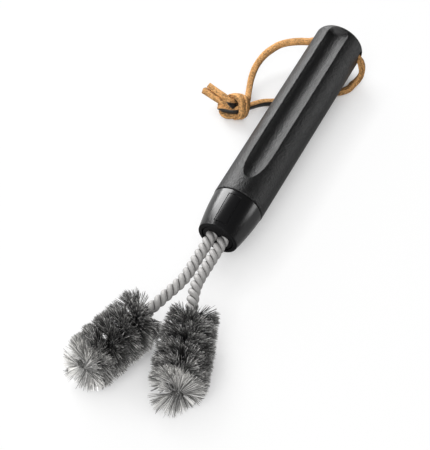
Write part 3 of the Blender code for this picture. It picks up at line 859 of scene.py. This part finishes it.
def twist_angle(side, distance):
    """The left-hand twist's angle at a distance along the stem, easing into the head's."""
    stems = bpy.context.scene.stem_sizes
    bristles = bpy.context.scene.bristle_sizes
    start, meet = (stems.left_start, stems.left_meet) if side < 0 else (stems.right_start, stems.right_meet)
    head_start = stem_length(side) - bristles.length
    bare = min(distance, head_start)
    slack = (meet - start + math.tau * head_start / stems.pitch + math.pi / 2) % math.pi - math.pi / 2
    turns = bare / stems.pitch + max(distance - head_start, 0) / bristles.pitch
    return start - math.tau * turns + slack * (bare / head_start) ** 6


def head_share(side, distance):
    """0 on the bare stem and 1 in the head, easing over half a twist."""
    pitch = bpy.context.scene.stem_sizes.pitch
    start = stem_length(side) - bpy.context.scene.bristle_sizes.length
    share = clamped((distance - start) / (pitch / 2) + 1)
    return share * share * (3 - 2 * share)


class StemsOperator(bpy.types.Operator):
    """Make the two stems, each of two stout steel wires twisted together"""

    bl_idname = "grill_brush.stems"
    bl_label = "Stems"

    def execute(self, context):
        paint = wire_steel(context.scene.brush_colours)
        for side, word in ((-1, "left"), (1, "right")):
            for strand in (1, 2):
                nodes = [f"{word}_stem_wire_{2 * strand - 1}", f"{word}_stem_wire_{2 * strand}"]
                self.make_wire(context, side, f"{word}_stem_strand_{strand}", strand, nodes, paint)
        return {"FINISHED"}

    def make_wire(self, context, side, name, strand, nodes, paint):
        """Draw one wire along the twist, and note how deep in a groove and in the head each part lies, for
        the painted shade there.
        """
        sizes = context.scene.stem_sizes
        bare = stem_lay()
        parted = head_lay()
        reach = stem_length(side) - sizes.setback
        points = []
        middles = []
        for step in range(WIRE_RINGS + 1):
            distance = reach * step / WIRE_RINGS
            centre, _, sideways, up = stem_frame(side, distance)
            share = head_share(side, distance)
            radius = bare * (1 - share) + parted * share
            turn = twist_angle(side, distance) + math.pi * (strand - 0.5)
            middles.append(centre)
            points.append(centre + radius * pointing(turn, sideways, up))
        bpy.ops.object.select_all(action="DESELECT")
        bpy.ops.curve.primitive_bezier_curve_add()
        curve = context.object
        curve.data.splines.clear()
        curve.data.dimensions = "3D"
        curve.data.bevel_depth = sizes.wire / 2
        curve.data.bevel_resolution = 6
        curve.data.use_fill_caps = True
        spline = curve.data.splines.new("POLY")
        spline.points.add(WIRE_RINGS)
        for control, point in zip(spline.points, points):
            control.co = (*point, 1)
        bpy.ops.object.convert(target="MESH")
        wire = context.object
        bpy.ops.object.mode_set(mode="EDIT")
        bpy.ops.mesh.select_all(action="SELECT")
        bpy.ops.mesh.remove_doubles(threshold=MERGE_DISTANCE)
        bpy.ops.object.mode_set(mode="OBJECT")
        lay = wire.data.color_attributes.new("lay", "FLOAT_COLOR", "POINT")
        around = len(wire.data.vertices) // (WIRE_RINGS + 1)
        for vertex in wire.data.vertices:
            ring = min(vertex.index // around, WIRE_RINGS)
            outward = (points[ring] - middles[ring]).normalized()
            facing = (vertex.co - points[ring]).normalized().dot(outward)
            # How deep in a groove this side lies, for the painted shade there
            depth = clamped((GROOVE_START - facing) / GROOVE_WIDTH)
            # How far into the head this ring lies, for the painted shade on the wires there
            inside = head_share(side, reach * ring / WIRE_RINGS)
            lay.data[vertex.index].color = (depth, inside, 0, 1)
        finished(wire, name, paint, nodes, smooth=50)


class BristlesOperator(bpy.types.Operator):
    """Make the two bristle heads: steel bristles held in a two-start spiral between the stem wires"""

    bl_idname = "grill_brush.bristles"
    bl_label = "Bristles"

    def execute(self, context):
        paint = bristle_steel(context.scene.brush_colours)
        for side, word in ((-1, "left"), (1, "right")):
            self.make_head(context, side, word, paint)
        return {"FINISHED"}

    def make_head(self, context, side, word, paint):
        """Place every bristle of one head, in tufts that fan out from the slot between the wires."""
        sizes = context.scene.bristle_sizes
        uneven = random.Random(23 + side)
        corners = []
        faces = []
        notes = []
        tufts = sizes.count // sizes.tuft
        for tuft in range(tufts):
            place_share = (tuft // 2 + uneven.uniform(0.1, 0.9)) / math.ceil(tufts / 2)
            place_share = place_share * (1.12 - 0.12 * place_share)
            inner = uneven.random() < sizes.inner_share
            fan = uneven.gauss(0, sizes.spread * (SHORT_FAN if inner else LONG_FAN))
            rake = uneven.gauss(0, sizes.rake)
            tone = uneven.random()
            trim = (sizes.inner_reach if inner else 1) * (1 + uneven.uniform(-0.09, 0.03))
            for _ in range(sizes.tuft):
                share = clamped(place_share + uneven.gauss(0, 0.008))
                path = self.bristle_path(context, side, share, tuft % 2, fan, rake, trim, uneven)
                thick = sizes.thickness / 2 * uneven.uniform(0.8, 1.2)
                own = 0.45 * tone + 0.55 * uneven.random()
                self.draw_bristle(path, thick, (own, share), corners, faces, notes)
        name = f"{word}_head"
        head = drawn(context, name, corners, faces, "strand", "POINT", notes)
        finished(head, name, paint, [f"{word}_bristles"], settle=False, smooth=80)

    def bristle_path(self, context, side, share, edge, fan, rake, trim, uneven):
        """A bristle's points from the slot between the wires to the head's outline."""
        sizes = context.scene.bristle_sizes
        distance = stem_length(side) - sizes.length * (1 - share)
        centre, forward, sideways, up = stem_frame(side, distance)
        slot = twist_angle(side, distance) + math.pi * edge
        front = clamped((share - 1) / sizes.front_share + 1)
        rear = max(1 - share / REAR_SHARE, 0)
        turn = slot + fan * (1 + 0.5 * front + 0.8 * rear) + uneven.gauss(0, sizes.scatter)
        start = slot + (turn - slot) * front
        root = centre + (ROOT_REACH + FRONT_ROOT_REACH * front) * pointing(start, sideways, up)
        lean = front * (sizes.front_lean - sizes.front_tilt * math.sin(turn))
        lean += rake - sizes.rear_lean * (1 - share) ** 3 + uneven.gauss(0, sizes.scatter)
        if uneven.random() < STRAY_SHARE:
            lean += uneven.uniform(-STRAY_ANGLE, STRAY_ANGLE)
            turn += uneven.uniform(-STRAY_ANGLE, STRAY_ANGLE)
        outward = pointing(turn, sideways, up)
        reach = sizes.radius * trim * (1 - sizes.front_trim * front) * (1 + uneven.uniform(-0.04, 0.015))
        tip = centre + reach * (math.cos(lean) * outward + math.sin(lean) * forward)
        bow = (tip - root).length * uneven.gauss(0, 0.02)
        across = outward.cross(forward)
        path = [root.lerp(tip, part) + bow * math.sin(math.pi * part) * across for part in STRAND_PARTS]
        path = [brush_place() @ point for point in self.kept_apart(path, side)]
        return [Vector((point.x, point.y, max(point.z, LOWEST_BRISTLE))) for point in path]

    def draw_bristle(self, path, thick, note, corners, faces, notes):
        """Add one thin three-sided wire along a path, with its notes for the finish and for the painted root
        shade and tip and front light.
        """
        ahead = (path[-1] - path[0]).normalized()
        across = ahead.orthogonal().normalized()
        over = ahead.cross(across)
        base = len(corners)
        last = len(path) - 1
        for step, point in enumerate(path):
            slim = thick * (1 if step < last else 0.7)
            for corner in range(3):
                corners.append(point + slim * pointing(math.tau * corner / 3, across, over))
                notes.append((note[0], STRAND_PARTS[step], note[1], 1))
        for step in range(last):
            for corner in range(3):
                here = base + step * 3 + corner
                beside = base + step * 3 + (corner + 1) % 3
                faces.append((here, beside, beside + 3, here + 3))
        faces.append((base + 2, base + 1, base))
        faces.append(tuple(base + 3 * last + corner for corner in range(3)))

    def kept_apart(self, path, side):
        """End a bristle before the plane halfway between the two heads."""
        if side * path[-1].x > HALF_PARTING:
            return path
        root = path[0]
        share = (side * root.x - HALF_PARTING) / (side * root.x - side * path[-1].x)
        return [root + (point - root) * share for point in path]


def smooth_route(points, spacing):
    """Points at an even spacing along a smooth curve through the given ones."""
    ends = [points[0] * 2 - points[1]] + points + [points[-1] * 2 - points[-2]]
    fine = []
    for before, here, there, after in zip(ends, ends[1:], ends[2:], ends[3:]):
        for step in range(16):
            share = step / 16
            bend = 2 * before - 5 * here + 4 * there - after
            twist = -before + 3 * here - 3 * there + after
            fine.append(here + 0.5 * share * (there - before + share * (bend + share * twist)))
    fine.append(points[-1])
    travelled = [0]
    for first, second in zip(fine, fine[1:]):
        travelled.append(travelled[-1] + (second - first).length)
    count = max(round(travelled[-1] / spacing), 1)
    even = []
    index = 1
    for step in range(count + 1):
        wanted = travelled[-1] * step / count
        while travelled[index] < wanted - 1e-12:
            index += 1
        share = (wanted - travelled[index - 1]) / (travelled[index] - travelled[index - 1])
        even.append(fine[index - 1].lerp(fine[index], share))
    return even


def lace_section(sizes):
    """The lace's square section with rounded corners, as (across, over) points."""
    half = sizes.width / 2
    inner = half - sizes.corner
    points = []
    for quarter in range(4):
        middle = math.radians(45 + 90 * quarter)
        corner = (math.copysign(inner, math.cos(middle)), math.copysign(inner, math.sin(middle)))
        for step in range(4):
            angle = middle + math.radians(-45 + 30 * step)
            round_corner = (sizes.corner * math.cos(angle), sizes.corner * math.sin(angle))
            points.append((corner[0] + round_corner[0], corner[1] + round_corner[1]))
    return points


class CordOperator(bpy.types.Operator):
    """Make the leather hang cord: both ends of one square lace, from the cord hole into an overhand knot"""

    bl_idname = "grill_brush.cord"
    bl_label = "Cord"

    def execute(self, context):
        sizes = context.scene.cord_sizes
        hole = hole_middle()
        ground = Vector((hole.x, hole.y, 0))
        knot = Matrix.Translation(ground + Vector(KNOT_PLACE))
        knot @= Euler((sizes.knot_tilt, 0, sizes.knot_turn)).to_matrix().to_4x4()
        paint = lace_leather(context.scene.brush_colours)
        left_nodes = ["cord_left_stretch", "cord_tail_2", "cord_knot"]
        right_nodes = ["cord_right_stretch", "cord_tail_1"]
        ends = (
            (-1, LEFT_ROUTE, LEFT_THROUGH_KNOT, TAIL_TIPS[1], "left", left_nodes),
            (1, RIGHT_ROUTE, RIGHT_THROUGH_KNOT, TAIL_TIPS[0], "right", right_nodes),
        )
        grip = context.scene.grip_sizes
        slack = (grip.hole_diameter - sizes.width) / 2 - context.scene.stem_sizes.gap
        away = Vector((0, math.sin(sizes.rest_turn), math.cos(sizes.rest_turn))) * slack
        for side, route, through, tip, word, nodes in ends:
            path = [hole + Vector((side * grip.radius * out, 0, 0)) + away * lift for out, lift in HOLE_WAY]
            path += [ground + Vector(point) for point in route]
            path += [knot @ Vector(point) for point in through]
            path.append(ground + Vector(tip))
            path = smooth_route(path, 0.0010)
            lace = self.sweep(context, path, f"cord_{word}", side, hole, knot)
            finished(lace, f"cord_{word}", paint, nodes, settle=False, smooth=50)
            total = sum((second - first).length for first, second in zip(path, path[1:]))
        return {"FINISHED"}

    def black_facing(self, point, side, hole, knot, knotted):
        """Where the lace's black side tends to face: hidden, except in front between grip and knot."""
        if knotted > FIRST_PASS or (knotted > 0 and side < 0):
            return knot.translation - point
        if side < 0:
            return Vector((0, 0, -1))
        if point.x > hole.x + 0.013:
            return Vector((-0.3, 1, 0))
        if point.x > hole.x + 0.004:
            return Vector((0, 0.1, -1))
        return Vector((0.3, -1, 0.1))

    def sweep(self, context, path, name, side, hole, knot):
        """Draw the lace's section along a path, its black side turning softly."""
        sizes = context.scene.cord_sizes
        section = lace_section(sizes)
        flat = sizes.width / 2 - sizes.corner
        count = len(section)
        uneven = random.Random(7 + side)
        corners = []
        sides = []
        faces = []
        notes = []
        dark = self.black_facing(path[0], side, hole, knot, 0)
        knotted = 0
        for index, point in enumerate(path):
            ahead = (path[min(index + 1, len(path) - 1)] - path[max(index - 1, 0)]).normalized()
            if (point - knot.translation).length < KNOT_REACH:
                knotted += (point - path[index - 1]).length
            wanted = self.black_facing(point, side, hole, knot, knotted)
            wanted = (wanted - wanted.dot(ahead) * ahead).normalized()
            dark = dark - dark.dot(ahead) * ahead
            dark = (0.8 * dark.normalized() + 0.2 * wanted).normalized()
            across = ahead.cross(dark)
            swell = 1 + 0.02 * math.sin(index * 0.31 + side) + uneven.uniform(-0.012, 0.012)
            for over, along in section:
                corner = point + swell * (over * across + along * dark)
                corners.append(Vector((corner.x, corner.y, max(corner.z, LOWEST_LACE))))
                black = 1 if along > flat else 0
                worn = 1 if min(abs(over), abs(along)) > flat else 0
                sides.append((black, 0, worn, 1))
            if index:
                base = (index - 1) * count
                for corner in range(count):
                    after = (corner + 1) % count
                    faces.append((base + corner, base + after, base + after + count, base + corner + count))
                    notes += [sides[vertex] for vertex in faces[-1]]
        for end in (range(count)[::-1], range(len(corners) - count, len(corners))):
            faces.append(tuple(end))
            notes += [(0, 1, 0, 1)] * count
        return drawn(context, name, corners, faces, "side", "CORNER", notes)


class StageOperator(bpy.types.Operator):
    """Set the camera, the soft lights and the plain white floor"""

    bl_idname = "grill_brush.stage"
    bl_label = "Stage"

    def execute(self, context):
        scene = context.scene
        stage = scene.stage_settings
        scene.view_settings.view_transform = "Standard"
        bpy.ops.object.select_all(action="DESELECT")
        bpy.ops.object.camera_add()
        camera = context.object
        camera.data.lens = CAMERA_LENS
        camera.data.sensor_width = CAMERA_SENSOR
        turn = Euler(CAMERA_TURN).to_matrix().to_4x4()
        camera.matrix_world = brush_place() @ Matrix.Translation(CAMERA_PLACE) @ turn
        scene.camera = camera
        bpy.ops.mesh.primitive_plane_add(size=6, location=(0, 0, -0.00005))
        floor = context.object
        floor.name = "floor"
        floor.data.materials.append(self.floor_paint(scene.brush_colours))
        for name, (place, width, height, setting) in LAMPS.items():
            self.soft_light(name, place, width, height, getattr(stage, setting))
        world = bpy.data.worlds.new("surroundings")
        scene.world = world
        world.use_nodes = True
        self.fill_world(Nodes(world.node_tree), stage.sky)
        return {"FINISHED"}

    def soft_light(self, name, place, width, height, power):
        """A large soft lamp that faces the brush."""
        bpy.ops.object.light_add(type="AREA", location=place)
        lamp = bpy.context.object
        lamp.name = name
        lamp.rotation_euler = (LAMP_TARGET - Vector(place)).to_track_quat("-Z", "Y").to_euler()
        lamp.data.shape = "RECTANGLE"
        lamp.data.size = width
        lamp.data.size_y = height
        lamp.data.energy = power

    def floor_paint(self, colours):
        """A white floor that keeps the brush's shadow, with painted shade deepening it close to the brush,
        and throws little light back.
        """
        paint = Paint("floor_paint", roughness=0.9)
        camera, glossy, through = paint.rays("Camera", "Glossy", "Transmission")
        # Painted shade: near the brush, ambient occlusion fades the floor's glow to the camera, deepening
        # the shadow there
        near = paint.node("ShaderNodeAmbientOcclusion", {"samples": 12}, {"Distance": 0.032}, output="AO")
        cloud = paint.noise(3, 1)
        pale = paint.mix(cloud, shade(colours.floor, 0.99), colours.floor)
        paint.feed("Base Color", paint.mix(camera, shade(colours.floor, 0.4), pale))
        seen = camera * (0.96 * near ** 1.2) + 0.1 * glossy + 0.6 * through
        glow = paint.node("ShaderNodeEmission", None, {"Color": WHITE, "Strength": 1.0})
        paint.surface("Material Output", seen, Socket(paint, paint.shader.outputs[0]), glow)
        return paint.material

    def fill_world(self, sky, strength):
        """White where the camera sees it, straight or through something, and softer as light."""
        camera, through = sky.rays("Camera", "Transmission")
        light = sky.node("ShaderNodeBackground", None, {"Color": WHITE, "Strength": strength})
        backdrop = sky.node("ShaderNodeBackground", None, {"Color": WHITE, "Strength": 1})
        sky.surface("World Output", camera.maths("MAXIMUM", through), light, backdrop)


class BrushPanel(bpy.types.Panel):
    """The brush's pieces and sizes"""

    bl_idname = "VIEW3D_PT_grill_brush"
    bl_label = "Grill Brush"
    bl_space_type = "VIEW_3D"
    bl_region_type = "UI"
    bl_category = "Grill Brush"

    def draw(self, context):
        for operator in OPERATORS:
            self.layout.operator(operator.bl_idname)
        for group in GROUPS:
            settings = getattr(context.scene, group)
            box = self.layout.box()
            box.label(text=group.replace("_", " ").capitalize())
            for name in settings.bl_rna.properties.keys():
                if name not in ("rna_type", "name"):
                    box.prop(settings, name, text=name.replace("_", " ").capitalize())


GROUPS = {
    "grip_sizes": GripSizes,
    "collar_sizes": CollarSizes,
    "stem_sizes": StemSizes,
    "bristle_sizes": BristleSizes,
    "cord_sizes": CordSizes,
    "brush_colours": BrushColours,
    "stage_settings": StageSettings,
}
OPERATORS = (
    StageOperator,
    CordOperator,
    GripOperator,
    CollarOperator,
    PlugOperator,
    StemsOperator,
    BristlesOperator,
)


def register():
    for name, group in GROUPS.items():
        bpy.utils.register_class(group)
        setattr(bpy.types.Scene, name, bpy.props.PointerProperty(type=group))
    for operator in OPERATORS:
        bpy.utils.register_class(operator)
    bpy.utils.register_class(BrushPanel)


def unregister():
    bpy.utils.unregister_class(BrushPanel)
    for operator in reversed(OPERATORS):
        bpy.utils.unregister_class(operator)
    for name, group in reversed(GROUPS.items()):
        delattr(bpy.types.Scene, name)
        bpy.utils.unregister_class(group)


def main():
    register()
    bpy.ops.grill_brush.stage()
    bpy.ops.grill_brush.cord()
    bpy.ops.grill_brush.grip()
    bpy.ops.grill_brush.collar()
    bpy.ops.grill_brush.plug()
    bpy.ops.grill_brush.stems()
    bpy.ops.grill_brush.bristles()


if __name__ == "__main__":
    main()
